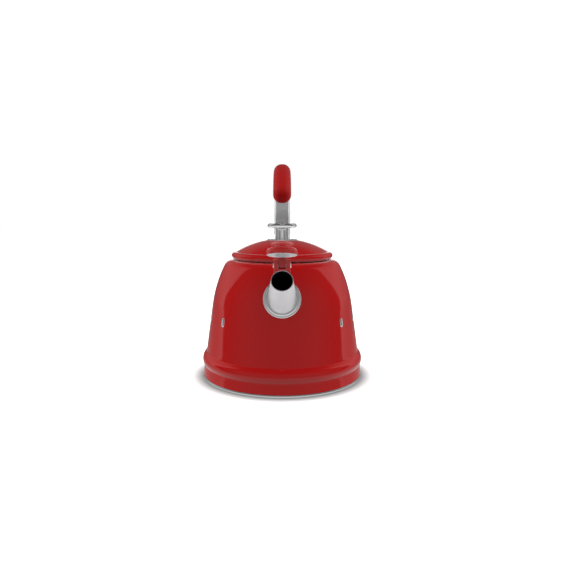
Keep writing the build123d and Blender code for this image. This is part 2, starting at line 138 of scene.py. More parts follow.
# Grid moved into a tilted frame: x stays across, y and z follow the frame's own directions.
def placed(grid, spot):
    return spot["origin"] + grid @ np.array([spot["x"], spot["y"], spot["z"]])


# Frame whose z points forward and up by an angle, and whose y points to the hinge pin's side.
def tiltedFrame(origin, angle):
    tilt = np.radians(angle)
    return {
        "origin": np.array(origin, float),
        "x": xAxis,
        "y": np.array([0, np.sin(tilt), np.cos(tilt)]),
        "z": np.array([0, -np.cos(tilt), np.sin(tilt)]),
    }


# Plate with round edges: an outline set in by e(1 - cos f) where it stands at h - e + e sin f.
def roundPlate(outline, outward, halfWidth, edge, steps=6):
    f = np.radians(np.linspace(0, 90, steps))
    straight = np.linspace(-1, 1, 8)[1:-1] * (halfWidth - edge)
    side = np.concatenate([-(halfWidth - edge + edge * np.sin(f))[::-1], straight,
                           halfWidth - edge + edge * np.sin(f)])
    drawn = edge * (1 - np.cos(np.concatenate([f[::-1], 0 * straight, f])))
    inset = outline - drawn[:, None, None] * outward
    across = np.broadcast_to(side[:, None, None], inset.shape[:2] + (1,))
    middle = inset[-1].mean(axis=0)
    lids = [np.broadcast_to([s * halfWidth, *middle], (1, len(outline), 3)) for s in (-1, 1)]
    return np.concatenate([lids[0], np.concatenate([across, inset], axis=2), lids[1]])


# Grid whose first and last outlines are each closed by a row of points at their middle.
def capped(grid):
    first, last = (np.broadcast_to(end.mean(axis=0), (1,) + end.shape)
                   for end in (grid[0], grid[-1]))
    return np.concatenate([first, grid, last])


# Four corners of every face between neighbouring points of a grid.
def gridFaces(points, wrapRows, start):
    rows, columns = points.shape[:2]
    index = start + np.arange(rows * columns).reshape(rows, columns)
    index = np.hstack([index, index[:, :1]])
    if wrapRows:
        index = np.vstack([index, index[:1]])
    corners = [index[:-1, :-1], index[:-1, 1:], index[1:, 1:], index[1:, :-1]]
    return np.stack(corners, axis=2).reshape(-1, 4)


# One object from one or more grids, whose columns always close on themselves.
# zones gives a material number for each row of faces, or for each face.
def makePiece(name, grids, materials, wrapRows=True, zones=None, sharp=38):
    vertices, faces, start = [], [], 0
    for grid in grids:
        faces.append(gridFaces(grid, wrapRows, start))
        vertices.append(grid.reshape(-1, 3))
        start += len(vertices[-1])
    vertices = np.concatenate(vertices) * mm
    faces = np.concatenate(faces)
    mesh = bpy.data.meshes.new(name)
    mesh.vertices.add(len(vertices))
    mesh.vertices.foreach_set("co", vertices.ravel())
    mesh.loops.add(faces.size)
    mesh.loops.foreach_set("vertex_index", faces.ravel().astype(np.int32))
    mesh.polygons.add(len(faces))
    mesh.polygons.foreach_set("loop_start", np.arange(0, faces.size, 4, dtype=np.int32))
    if zones is not None:
        perRow = zones[:, None] if zones.ndim == 1 else zones
        perFace = np.broadcast_to(perRow, (len(perRow), grids[0].shape[1]))
        mesh.polygons.foreach_set("material_index", perFace.ravel().astype(np.int32))
    mesh.update(calc_edges=True)
    closeMesh(mesh)
    for material in materials:
        mesh.materials.append(material)
    mesh.shade_smooth()
    mesh.set_sharp_from_angle(angle=np.radians(sharp))
    piece = bpy.data.objects.new(name, mesh)
    bpy.context.scene.collection.objects.link(piece)
    return piece


# Seams and poles welded, loose edges dropped, faces turned outward.
def closeMesh(mesh):
    work = bmesh.new()
    work.from_mesh(mesh)
    bmesh.ops.remove_doubles(work, verts=work.verts, dist=1e-7)
    loose = [edge for edge in work.edges if not edge.link_faces]
    bmesh.ops.delete(work, geom=loose, context="EDGES")
    bmesh.ops.recalc_face_normals(work, faces=work.faces)
    work.to_mesh(mesh)
    work.free()


bodyOf = {node: name for name, nodes in frame["record"]["behaviour"]["bodies"].items()
          for node in nodes}


# The piece takes its CAD node's place on the same body, and the CAD node is hidden.
def settle(piece, node):
    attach(piece, bodyOf[node])
    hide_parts(node)


# Node with its settings and inputs; an input that is a socket is linked.
def addNode(tree, kind, inputs=None, **settings):
    node = tree.nodes.new(kind)
    for name, value in settings.items():
        setattr(node, name, value)
    for name, value in (inputs or {}).items():
        if isinstance(value, bpy.types.NodeSocket):
            tree.links.new(value, node.inputs[name])
        else:
            node.inputs[name].default_value = value
    return node


def newGroup(name, inputs, outputs):
    group = bpy.data.node_groups.new(name, "ShaderNodeTree")
    for title, kind, value in inputs:
        socket = group.interface.new_socket(name=title, in_out="INPUT", socket_type=kind)
        if value is not None:
            socket.default_value = value
    for title, kind in outputs:
        group.interface.new_socket(name=title, in_out="OUTPUT", socket_type=kind)
    return group, group.nodes.new("NodeGroupInput"), group.nodes.new("NodeGroupOutput")


# Uneven value: a base that rises and falls by a spread over soft patches of the given size.
def patchyGroup():
    inputs = [
        ("Vector", "NodeSocketVector", None),
        ("Patches", "NodeSocketFloat", 25.0),
        ("Base", "NodeSocketFloat", 0.2),
        ("Spread", "NodeSocketFloat", 0.05),
    ]
    group, given, made = newGroup("patchyValue", inputs, [("Value", "NodeSocketFloat")])
    noise = addNode(group, "ShaderNodeTexNoise", {
        "Vector": given.outputs["Vector"], "Scale": given.outputs["Patches"],
        "Detail": 4.0, "Roughness": 0.6})
    centred = addNode(group, "ShaderNodeMath", {0: noise.outputs["Fac"], 1: 0.5},
                      operation="SUBTRACT")
    value = addNode(group, "ShaderNodeMath", {
        0: centred.outputs[0], 1: given.outputs["Spread"], 2: given.outputs["Base"]},
        operation="MULTIPLY_ADD")
    group.links.new(value.outputs[0], made.inputs["Value"])
    return group


# Fine grain: small bumps with finer ones on them, as a height and as a mask.
def grainGroup():
    inputs = [("Vector", "NodeSocketVector", None), ("Grains", "NodeSocketFloat", 900.0)]
    outputs = [("Height", "NodeSocketFloat"), ("Mask", "NodeSocketFloat")]
    group, given, made = newGroup("fineGrain", inputs, outputs)
    noise = addNode(group, "ShaderNodeTexNoise", {
        "Vector": given.outputs["Vector"], "Scale": given.outputs["Grains"],
        "Detail": 3.0, "Roughness": 0.5})
    mask = addNode(group, "ShaderNodeMapRange", {
        "Value": noise.outputs["Fac"], "From Min": 0.35, "From Max": 0.65})
    group.links.new(noise.outputs["Fac"], made.inputs["Height"])
    group.links.new(mask.outputs["Result"], made.inputs["Mask"])
    return group


# Brushed lines about the piece's own axis: noise read at (direction, distance, height), with each
# of the three stretched by its own amount, so that lines run round the axis or along it.
def brushedGroup():
    inputs = [
        ("Vector", "NodeSocketVector", None),
        ("Around", "NodeSocketFloat", 2.0),
        ("Outward", "NodeSocketFloat", 1500.0),
        ("Along", "NodeSocketFloat", 1500.0),
    ]
    outputs = [("Height", "NodeSocketFloat"), ("Mask", "NodeSocketFloat")]
    group, given, made = newGroup("brushedLines", inputs, outputs)
    part = addNode(group, "ShaderNodeSeparateXYZ", {0: given.outputs["Vector"]})
    flat = addNode(group, "ShaderNodeCombineXYZ", {0: part.outputs[0], 1: part.outputs[1]})
    distance = addNode(group, "ShaderNodeVectorMath", {0: flat.outputs[0]}, operation="LENGTH")
    heading = addNode(group, "ShaderNodeVectorMath", {0: flat.outputs[0]}, operation="NORMALIZE")
    around = addNode(group, "ShaderNodeVectorMath", {
        0: heading.outputs[0], "Scale": given.outputs["Around"]}, operation="SCALE")
    outward = addNode(group, "ShaderNodeMath", {
        0: distance.outputs["Value"], 1: given.outputs["Outward"]}, operation="MULTIPLY")
    along = addNode(group, "ShaderNodeMath", {
        0: part.outputs[2], 1: given.outputs["Along"]}, operation="MULTIPLY")
    both = addNode(group, "ShaderNodeMath", {0: outward.outputs[0], 1: along.outputs[0]},
                   operation="ADD")
    lift = addNode(group, "ShaderNodeCombineXYZ", {2: both.outputs[0]})
    place = addNode(group, "ShaderNodeVectorMath", {0: around.outputs[0], 1: lift.outputs[0]},
                    operation="ADD")
    noise = addNode(group, "ShaderNodeTexNoise", {
        "Vector": place.outputs[0], "Scale": 1.0, "Detail": 3.0, "Roughness": 0.7})
    mask = addNode(group, "ShaderNodeMapRange", {
        "Value": noise.outputs["Fac"], "From Min": 0.3, "From Max": 0.7})
    group.links.new(noise.outputs["Fac"], made.inputs["Height"])
    group.links.new(mask.outputs["Result"], made.inputs["Mask"])
    return group


patchy, grain, brushed = patchyGroup(), grainGroup(), brushedGroup()


def useGroup(tree, group, inputs):
    return addNode(tree, "ShaderNodeGroup", inputs, node_tree=group)


# Material with two close colours mixed by a pattern, an uneven roughness and a fine bump.
# brush gives brushed lines in place of grain, with the axis they belong to; a painted reflection colour gives
# the grey that glossy rays see in place of the piece's own colour, so that its neighbours reflect it grey.
def finish(name, look):
    material = bpy.data.materials.new(name)
    material.use_nodes = True
    tree = material.node_tree
    shader = tree.nodes["Principled BSDF"]
    place = addNode(tree, "ShaderNodeTexCoord").outputs["Object"]
    rough = useGroup(tree, patchy, {
        "Vector": place, "Patches": look["patches"], "Base": look["rough"],
        "Spread": look["roughSpread"]})
    if "brush" in look:
        brush = look["brush"]
        turn = addNode(tree, "ShaderNodeMapping", {
            "Vector": place, "Location": [-c * mm for c in brush["origin"]]})
        lean = addNode(tree, "ShaderNodeMapping", {
            "Vector": turn.outputs[0], "Rotation": [np.radians(brush["lean"]), 0, 0]})
        pattern = useGroup(tree, brushed, {
            "Vector": lean.outputs[0], "Around": brush["around"],
            "Outward": brush["outward"], "Along": brush["along"]})
    else:
        pattern = useGroup(tree, grain, {"Vector": place, "Grains": look["grains"]})
    blend = addNode(tree, "ShaderNodeMix", {
        "Factor": pattern.outputs["Mask"]}, data_type="RGBA")
    blend.inputs["A"].default_value = (*look["colour"], 1)
    blend.inputs["B"].default_value = (*look["second"], 1)
    bump = addNode(tree, "ShaderNodeBump", {
        "Height": pattern.outputs["Height"], "Strength": look["bump"],
        "Distance": look["depth"] * mm})
    colour = blend.outputs["Result"]
    # painted reflection: glossy rays see a grey in place of the piece's own colour
    if "paintedReflection" in look:
        ray = addNode(tree, "ShaderNodeLightPath")
        seen = addNode(tree, "ShaderNodeMix", {"Factor": ray.outputs["Is Glossy Ray"]},
                       data_type="RGBA")
        tree.links.new(colour, seen.inputs["A"])
        seen.inputs["B"].default_value = (*look["paintedReflection"], 1)
        colour = seen.outputs["Result"]
    tree.links.new(colour, shader.inputs["Base Color"])
    tree.links.new(rough.outputs["Value"], shader.inputs["Roughness"])
    tree.links.new(bump.outputs["Normal"], shader.inputs["Normal"])
    for socket, value in look.get("shader", {}).items():
        shader.inputs[socket].default_value = value
    return material


upright = {"origin": (0, 0, 0), "lean": 0}
roundLines = {"around": 3.0, "outward": 2500.0, "along": 2500.0}
metal = {"Metallic": 1.0}

# the red finishes carry a painted reflection grey, seen by glossy rays in place of their red
looks = {
    "redEnamel": {
        "colour": (0.352, 0.0016, 0.0016), "second": (0.364, 0.0018, 0.0018), "grains": 420.0,
        "patches": 14.0, "rough": 0.085, "roughSpread": 0.05, "bump": 0.05, "depth": 0.1,
        "paintedReflection": (0.8, 0.8, 0.8),
        "shader": {"IOR": 1.5, "Specular IOR Level": 0.8, "Specular Tint": (1, 0.6, 0.6, 1)}},
    "capRed": {
        "colour": (0.345, 0.0018, 0.0018), "second": (0.36, 0.002, 0.002), "grains": 900.0,
        "patches": 60.0, "rough": 0.2, "roughSpread": 0.05, "bump": 0.08, "depth": 0.05,
        "paintedReflection": (0.8, 0.8, 0.8), "shader": {"IOR": 1.75}},
    "gripRed": {
        "colour": (0.33, 0.002, 0.002), "second": (0.35, 0.003, 0.003), "grains": 2600.0,
        "patches": 45.0, "rough": 0.5, "roughSpread": 0.1, "bump": 0.22, "depth": 0.06,
        "paintedReflection": (0.6, 0.6, 0.6), "shader": {"IOR": 1.45, "Specular IOR Level": 0.16}},
    "footSteel": {
        "colour": (0.72, 0.72, 0.73), "second": (0.66, 0.66, 0.67), "patches": 30.0,
        "rough": 0.16, "roughSpread": 0.08, "bump": 0.06, "depth": 0.02,
        "brush": {**upright, **roundLines}, "shader": metal},
    "hobSteel": {
        "colour": (0.5, 0.5, 0.51), "second": (0.4, 0.4, 0.41), "patches": 30.0,
        "rough": 0.34, "roughSpread": 0.1, "bump": 0.3, "depth": 0.05,
        "brush": {**upright, "around": 1.5, "outward": 1400.0, "along": 900.0}, "shader": metal},
    "coreAluminium": {
        "colour": (0.78, 0.78, 0.79), "second": (0.7, 0.7, 0.71), "grains": 1200.0,
        "patches": 30.0, "rough": 0.4, "roughSpread": 0.1, "bump": 0.1, "depth": 0.05,
        "shader": metal},
    "innerSteel": {
        "colour": (0.6, 0.6, 0.6), "second": (0.53, 0.53, 0.53), "patches": 20.0,
        "rough": 0.36, "roughSpread": 0.1, "bump": 0.15, "depth": 0.04,
        "brush": {**upright, **roundLines}, "shader": metal},
    # painted shade: near-black standing in for the shadow inside the spout's bore
    "paintedBoreShade": {
        "colour": (0.012, 0.012, 0.012), "second": (0.006, 0.006, 0.006), "grains": 900.0,
        "patches": 60.0, "rough": 0.75, "roughSpread": 0.1, "bump": 0.1, "depth": 0.05,
        "shader": {"Specular IOR Level": 0.05}},
    "chrome": {
        "colour": (0.93, 0.93, 0.94), "second": (0.91, 0.91, 0.92), "grains": 700.0,
        "patches": 40.0, "rough": 0.06, "roughSpread": 0.04, "bump": 0.02, "depth": 0.03,
        "shader": metal},
    "armChrome": {
        "colour": (0.92, 0.92, 0.93), "second": (0.9, 0.9, 0.91), "grains": 600.0,
        "patches": 35.0, "rough": 0.12, "roughSpread": 0.06, "bump": 0.03, "depth": 0.03,
        "shader": metal},
    "armSatin": {
        "colour": (0.4, 0.4, 0.405), "second": (0.36, 0.36, 0.365), "grains": 600.0,
        "patches": 35.0, "rough": 0.36, "roughSpread": 0.05, "bump": 0.05, "depth": 0.03,
        "shader": metal},
    "capSteel": {
        "colour": (0.84, 0.85, 0.87), "second": (0.76, 0.77, 0.79), "grains": 1400.0,
        "patches": 70.0, "rough": 0.3, "roughSpread": 0.1, "bump": 0.1, "depth": 0.03,
        "shader": {"Metallic": 0.6}},
    "silicone": {
        "colour": (0.05, 0.05, 0.052), "second": (0.035, 0.035, 0.036), "grains": 1500.0,
        "patches": 50.0, "rough": 0.6, "roughSpread": 0.1, "bump": 0.1, "depth": 0.04,
        "shader": {"IOR": 1.4}},
}
materials = {name: finish(name, look) for name, look in looks.items()}
print("materials ready:", len(materials))

body = {
    "skirtRadius": 93.7, "skirtBottom": 3.4, "skirtTopRadius": 92.5, "beadBottom": 15.6,
    "beadRadius": 94.4, "beadMiddle": 22.4, "wallRadius": 89.9, "wallBottom": 30.5,
    "lean": 8.1, "straightRise": 54.5, "haunchRadius": 155.0, "haunchTurn": 18.5,
    "shoulderRadius": 11.0, "neckBore": 51.5, "neckBend": 2.0, "neckDepth": 7.0,
    "sheet": 1.1, "soften": 1.6, "pathStep": 0.25,
}


# Unit direction at an angle in degrees.
def headingOf(angle):
    return np.array([np.cos(np.radians(angle)), np.sin(np.radians(angle))])


# Radius and height along the outside: skirt, bead, straight wall, haunch, shoulder, lip, neck.
def wallPath(size):
    start = np.array([size["wallRadius"], size["wallBottom"]])
    end = start + size["straightRise"] * np.array([-np.tan(np.radians(size["lean"])), 1])
    leaned = size["lean"] + size["haunchTurn"]
    haunchCentre = end - size["haunchRadius"] * headingOf(size["lean"])
    haunch = arcOf(haunchCentre, size["haunchRadius"], size["lean"], leaned, 60)
    shoulderCentre = haunch[-1] - size["shoulderRadius"] * headingOf(leaned)
    shoulder = arcOf(shoulderCentre, size["shoulderRadius"], leaned, 90, 30)
    neckTop = shoulder[-1, 1]
    bend = size["neckBend"]
    neck = arcOf((size["neckBore"] + bend, neckTop - bend), bend, 90, 180, 12)
    skirtTop = (size["skirtTopRadius"], size["beadBottom"])
    bead = arcThrough(skirtTop, (size["beadRadius"], size["beadMiddle"]), start, 24)
    first = [(size["skirtRadius"], size["skirtBottom"])]
    last = [(size["neckBore"], neckTop - size["neckDepth"])]
    return haunchCentre, np.concatenate([first, bead, haunch, shoulder, neck, last])


# Path resampled so that its points stand closer where it bends.
def paced(path, stride=4.0, bend=5.0):
    run = np.diff(path, axis=0)
    heading = np.unwrap(np.arctan2(run[:, 1], run[:, 0]))
    turn = np.degrees(np.abs(np.diff(heading, prepend=heading[0])))
    pace = np.concatenate([[0], np.cumsum(np.linalg.norm(run, axis=1) / stride + turn / bend)])
    even = np.linspace(0, pace[-1], int(pace[-1]) + 2)
    return np.stack([np.interp(even, pace, axis) for axis in path.T], axis=1)


# Closed outline of a sheet: the path, and the same path moved to the left by the thickness.
def sheetOutline(path, thickness):
    return np.concatenate([path, shifted(path, thickness)[::-1]])


haunchCentre, roughWall = wallPath(body)
fineWall = softened(roughWall, body["pathStep"], body["soften"])
climb = fineWall[:np.argmax(fineWall[:, 1])]
stretch = np.hypot(1, np.gradient(climb[:, 0], climb[:, 1]))


# Radius of the body's outside at a height, raised by a skin square to the surface.
def wallReach(height, skin=0.0):
    stretched = np.interp(height, climb[:, 1], stretch)
    return np.interp(height, climb[:, 1], climb[:, 0]) + skin * stretched


# How far the surface's normal points up on the haunch, in degrees.
def haunchSlope(height):
    return np.degrees(np.arcsin((height - haunchCentre[1]) / body["haunchRadius"]))


# Points carried along a direction until they lie on the body's wall raised by the skin.
def ontoWall(points, direction, skin):
    reach = np.zeros(points.shape[:-1])
    for _ in range(16):
        spot = points + reach[..., None] * direction
        reach = reach + wallReach(spot[..., 2], skin) - np.hypot(spot[..., 0], spot[..., 1])
    return points + reach[..., None] * direction


wall = paced(fineWall)
shell = makePiece(
    "bodyShell", [turned(sheetOutline(wall, body["sheet"]))],
    [materials["redEnamel"], materials["innerSteel"]],
    zones=np.repeat([0, 1], [len(wall), len(wall)]))
settle(shell, "body_shell")

foot = {"radius": 93.9, "top": 3.2, "inner": 88.6, "lift": 0.5, "round": 1.1,
        "floor": 7.0, "sheet": 1.0, "flat": 85.0, "fold": 0.6, "rimFold": 0.3}
panInner = foot["inner"] + foot["sheet"]
panCorners = [
    (foot["radius"], foot["top"]), (panInner, foot["top"]),
    (panInner + foot["top"] - foot["floor"], foot["floor"]), (0, foot["floor"]),
    (0, foot["floor"] - foot["sheet"]), (foot["flat"], foot["floor"] - foot["sheet"]),
    (foot["inner"], foot["lift"]), (foot["radius"], foot["lift"]),
]
panRounds = [foot["round"], foot["rimFold"], foot["fold"], 0,
             0, foot["fold"], foot["rimFold"], foot["round"]]
pan = makePiece("basePan", [turned(roundedOutline(panCorners, panRounds))],
                [materials["footSteel"]])
settle(pan, "base_pan")

capsule = {"radius": 84.8, "core": 84.0, "sheet": 0.8, "top": 6.0, "round": 0.7, "fold": 0.2}
cupCorners = [
    (0, 0), (capsule["radius"], 0), (capsule["radius"], capsule["top"]),
    (capsule["core"], capsule["top"]), (capsule["core"], capsule["sheet"]), (0, capsule["sheet"]),
]
cupRounds = [0, capsule["round"], capsule["fold"], capsule["fold"], capsule["fold"], 0]
cup = makePiece("baseCapsule", [turned(roundedOutline(cupCorners, cupRounds))],
                [materials["hobSteel"]])
settle(cup, "base_capsule")
frame["nodes"]["base_core"].data.materials.clear()
frame["nodes"]["base_core"].data.materials.append(materials["coreAluminium"])
print("body and base made")

spout = {
    "tilt": 30.5, "length": 49.6, "inside": 59.5, "mouth": 11.0, "sheet": 0.9, "taper": 5.0,
    "wallHeight": 103.4, "lipRound": 0.35, "endRound": 0.2,
}
spoutAim = np.array([0, *(headingOf(spout["tilt"]) * (-1, 1))])
spoutRoot = np.array([0, -wallReach(spout["wallHeight"]), spout["wallHeight"]])
mouth = tiltedFrame(spoutRoot + spoutAim * spout["length"], spout["tilt"])
taper = np.tan(np.radians(spout["taper"]))


# A tilted frame seen from the side: its second axis runs forward, its third toward the pin.
def sideOf(front):
    return {"origin": front["origin"], "x": xAxis, "y": front["z"], "z": front["y"]}


# Radius of the spout's cone at a distance behind the mouth.
def coneReach(behind):
    return spout["mouth"] + taper * behind


# How far each point lies behind the mouth, and how far from the spout's axis.
def spoutAlong(points):
    away = points - mouth["origin"]
    behind = -(away @ spoutAim)
    return behind, np.linalg.norm(away + behind[..., None] * spoutAim, axis=-1)


spoutSteel = {
    "colour": (0.84, 0.84, 0.86), "second": (0.81, 0.81, 0.83), "patches": 40.0,
    "rough": 0.3, "roughSpread": 0.02, "bump": 0.06, "depth": 0.03,
    "brush": {"origin": mouth["origin"], "lean": 90 - spout["tilt"], "around": 60.0,
              "outward": 40.0, "along": 12.0},
    "shader": metal,
}
materials["spoutSteel"] = finish("spoutSteel", spoutSteel)
# the painted shade, a near-black finish standing in for the shadow in the bore, starts where the outline turns
# into the bore
deep = -spout["inside"]
tubeCorners = [
    (spout["mouth"], 0), (spout["mouth"] - spout["sheet"], 0),
    (coneReach(spout["inside"]) - spout["sheet"], deep), (coneReach(spout["inside"]), deep),
]
tubeRounds = [spout["lipRound"]] * 2 + [spout["endRound"]] * 2
tubeOutline = roundedOutline(tubeCorners, tubeRounds)
boreRows = (tubeOutline[:, 0] < coneReach(-tubeOutline[:, 1]) - 0.6 * spout["sheet"])
tube = makePiece("spoutTube", [placed(turned(tubeOutline, 128), mouth)],
                 [materials["spoutSteel"], materials["paintedBoreShade"]],
                 zones=(boreRows & np.roll(boreRows, -1)).astype(int))
settle(tube, "spout_tube")

cutterCorners = [(0, 0), (spout["mouth"], 0), (coneReach(spout["inside"]), deep), (0, deep)]
cutter = makePiece("spoutHole", [placed(turned(cutterCorners, 96), mouth)],
                   [materials["innerSteel"]])
hole = shell.modifiers.new("hole", "BOOLEAN")
hole.object = cutter
hole.operation = "DIFFERENCE"
hole.solver = "EXACT"
pierced = bpy.data.meshes.new_from_object(
    shell.evaluated_get(bpy.context.evaluated_depsgraph_get()))
shell.modifiers.clear()
shell.data = pierced
bpy.data.objects.remove(cutter)

flange = {"radius": 20.2, "sheet": 1.1, "edge": 0.5, "bead": 17.05, "beadHalf": 0.9,
          "beadRise": 0.85, "lift": 0.03}
flangeSpot = tiltedFrame(spoutRoot, haunchSlope(spout["wallHeight"]))
direction = np.linspace(0, 2 * np.pi, 160, endpoint=False)
spokes = np.sin(direction)[:, None] * xAxis + np.cos(direction)[:, None] * flangeSpot["y"]


# Where each spoke of the flange meets the spout's cone.
def flangeBore():
    reach = np.full(len(direction), coneReach(spout["length"]))
    for _ in range(20):
        points = ontoWall(spoutRoot + reach[:, None] * spokes, flangeSpot["z"], flange["sheet"])
        behind, off = spoutAlong(points)
        reach = reach + coneReach(behind) - off
    return reach


bore = flangeBore()[None]
half = np.radians(np.linspace(180, 0, 13))[:, None]
quarter = np.radians(np.linspace(90, 0, 6))[:, None]
beadInner = flange["bead"] - flange["beadHalf"]
across = np.concatenate([
    bore, bore, 0.5 * (bore + beadInner),
    np.broadcast_to(flange["bead"] + flange["beadHalf"] * np.cos(half), (13, bore.size)),
    np.broadcast_to(flange["radius"] - flange["edge"] * (1 - np.cos(quarter)), (6, bore.size)),
    np.full(bore.shape, flange["radius"]),
])
lift = np.concatenate([
    [[flange["lift"]]], [[flange["sheet"]]], [[flange["sheet"]]],
    flange["sheet"] + flange["beadRise"] * np.sin(half),
    flange["sheet"] - flange["edge"] * (1 - np.sin(quarter)),
    [[flange["lift"]]],
])
ring = ontoWall(spoutRoot + across[..., None] * spokes, flangeSpot["z"],
                np.broadcast_to(lift, across.shape))
settle(makePiece("spoutFlange", [ring], [materials["chrome"]]), "spout_flange")
print("spout made")

bracket = {"width": 16.4, "slot": 8.0, "ear": 6.4, "floor": 13.3, "front": 1.0, "length": 18.0,
           "depth": 6.0, "edge": 0.8, "saddleEdge": 0.2, "corner": 1.0}
stud = {"back": 14.5, "head": 2.4, "headRise": 0.9, "shank": 1.4, "grip": 2.4, "tail": 0.9,
        "headRound": 0.8, "tailRound": 0.6, "fold": 0.1}
pin = {"rise": 19.5, "back": 6.9, "radius": 1.5, "length": 18.3, "head": 2.4, "headRound": 0.6,
       "fold": 0.1}
pinSpot = (-pin["back"], pin["rise"])
mouthSide = sideOf(mouth)


# Plate across the spout, its lower edge raised to the spout's cone.
def onCone(plate, shift):
    plate = plate + np.array([shift, 0, 0])
    seat = np.sqrt(np.maximum(coneReach(-plate[..., 1]) ** 2 - plate[..., 0] ** 2, 1))
    plate[..., 2] = np.maximum(plate[..., 2], seat)
    return placed(plate, mouthSide)


corner = bracket["corner"]
back = -bracket["front"] - bracket["length"]
low = bracket["floor"] - bracket["depth"]
feet = [(along, height) for height in (low + corner, bracket["floor"] - corner)
        for along in (back + corner, -bracket["front"] - corner)]
earHalf = (bracket["width"] - bracket["slot"]) / 4
earOutline = stringOutline([pinSpot, *feet], [bracket["ear"], *[corner] * 4], 128)
saddleOutline = stringOutline(feet, [corner] * 4, 64)
earShift = (bracket["width"] + bracket["slot"]) / 4
saddleParts = [
    onCone(roundPlate(*earOutline, earHalf, bracket["edge"]), earShift),
    onCone(roundPlate(*earOutline, earHalf, bracket["edge"]), -earShift),
    onCone(roundPlate(*saddleOutline, bracket["slot"] / 2 + bracket["edge"],
                      bracket["saddleEdge"]), 0),
]
settle(makePiece("hingeBracket", saddleParts, [materials["capRed"]], wrapRows=False),
       "hinge_bracket")

studSpot = {
    "origin": mouth["origin"] + mouth["y"] * bracket["floor"] - mouth["z"] * stud["back"],
    "x": xAxis, "y": mouth["z"], "z": mouth["y"]}
tailEnd = -stud["grip"] - stud["tail"]
studCorners = [(0, stud["headRise"]), (stud["head"], stud["headRise"]), (stud["head"], 0),
               (stud["shank"], 0), (stud["shank"], -stud["grip"]),
               (stud["head"], -stud["grip"]), (stud["head"], tailEnd), (0, tailEnd)]
studRounds = [0, stud["headRound"], *[stud["fold"]] * 4, stud["tailRound"], 0]
studOutline = roundedOutline(studCorners, studRounds)
# the rivet's tail inside the spout's bore takes the painted bore shade
inBore = studOutline[:-1, 1] < -stud["grip"] / 2
rivet = makePiece("bracketRivet", [placed(turned(studOutline, 48), studSpot)],
                  [materials["chrome"], materials["paintedBoreShade"]], wrapRows=False,
                  zones=inBore.astype(int))
settle(rivet, "bracket_rivet")

pinFrame = {"origin": pinPlace, "x": mouth["z"], "y": mouth["y"], "z": xAxis}
end = pin["length"] / 2
inside = bracket["width"] / 2
pinCorners = [(0, -end), (pin["head"], -end), (pin["head"], -inside), (pin["radius"], -inside),
              (pin["radius"], inside), (pin["head"], inside), (pin["head"], end), (0, end)]
pinRounds = [0, pin["headRound"], *[pin["fold"]] * 4, pin["headRound"], 0]
pinOutline = roundedOutline(pinCorners, pinRounds)
settle(makePiece("hingePin", [placed(turned(pinOutline, 48), pinFrame)],
                 [materials["chrome"]], wrapRows=False), "hinge_pin")

cap = {
    "radius": 14.75, "gap": 0.3, "height": 6.7, "edgeRound": 3.0, "wall": 1.4, "plate": 0.9,
    "inset": 0.15, "boss": 6.4, "bossRise": 3.0, "bossFoot": 0.8, "bossRound": 1.2,
    "bossBore": 3.6, "boreRound": 0.5, "rimRound": 0.3, "innerFold": 1.4, "barrel": 7.8,
    "barrelSheet": 0.5, "disc": 0.5, "discHole": 1.5, "lowerDisc": 0.9, "upperDisc": 4.6,
    "plateFold": 0.12, "discFold": 0.15, "rimShow": 0.3, "tongue": 7.5, "tongueEdge": 0.7,
    "tongueRise": 14.0, "tongueReach": 4.0, "tongueTip": 0.35, "knuckle": 5.2,
}
capTurn = tiltedFrame((0, 0, 0), spout["tilt"] + openAngle)
capOrigin = pinPlace - pin["rise"] * capTurn["y"] + pin["back"] * capTurn["z"]
capSpot = tiltedFrame(capOrigin, spout["tilt"] + openAngle)
plateTop = cap["gap"] + cap["plate"]
shellTop = cap["gap"] + cap["height"]
bossTop = shellTop + cap["bossRise"]
skirtEnd = cap["gap"] + cap["rimShow"]
coverCorners = [
    (cap["radius"], skirtEnd), (cap["radius"], shellTop), (cap["boss"], shellTop),
    (cap["boss"], bossTop), (cap["bossBore"], bossTop), (cap["bossBore"], bossTop - cap["wall"]),
    (cap["boss"] - cap["wall"], bossTop - cap["wall"]),
    (cap["boss"] - cap["wall"], shellTop - cap["wall"]),
    (cap["radius"] - cap["wall"], shellTop - cap["wall"]),
    (cap["radius"] - cap["wall"], skirtEnd),
]
rim, bore = cap["rimRound"], cap["boreRound"]
coverRounds = [rim, cap["edgeRound"], cap["bossFoot"], cap["bossRound"], bore, rim, rim, bore,
               cap["innerFold"], rim]
coverOutline = roundedOutline(coverCorners, coverRounds)
cover = placed(turned(coverOutline, 128), capSpot)
tip, tipMargin = cap["tongueTip"], 0.4
tongueFoot = cap["tongueRise"] + tip
tongueOutline = stringOutline(
    [pinSpot, (plateTop + tipMargin, tongueFoot),
     (plateTop + cap["tongueReach"] - tipMargin, tongueFoot)],
    [cap["knuckle"], tip, tip], 96)
tongue = placed(roundPlate(*tongueOutline, cap["tongue"] / 2, cap["tongueEdge"]), sideOf(capSpot))
settle(makePiece("capCover", [cover, tongue], [materials["capRed"]]), "cap_cover")


# Flat ring about the cap's axis, from its radius in to its bore.
def capRing(name, node, radius, boreRadius, bottom, height, fold):
    corners = [(radius, bottom), (radius, bottom + height), (boreRadius, bottom + height),
               (boreRadius, bottom)]
    grid = placed(turned(roundedOutline(corners, fold), 96), capSpot)
    settle(makePiece(name, [grid], [materials["capSteel"]]), node)


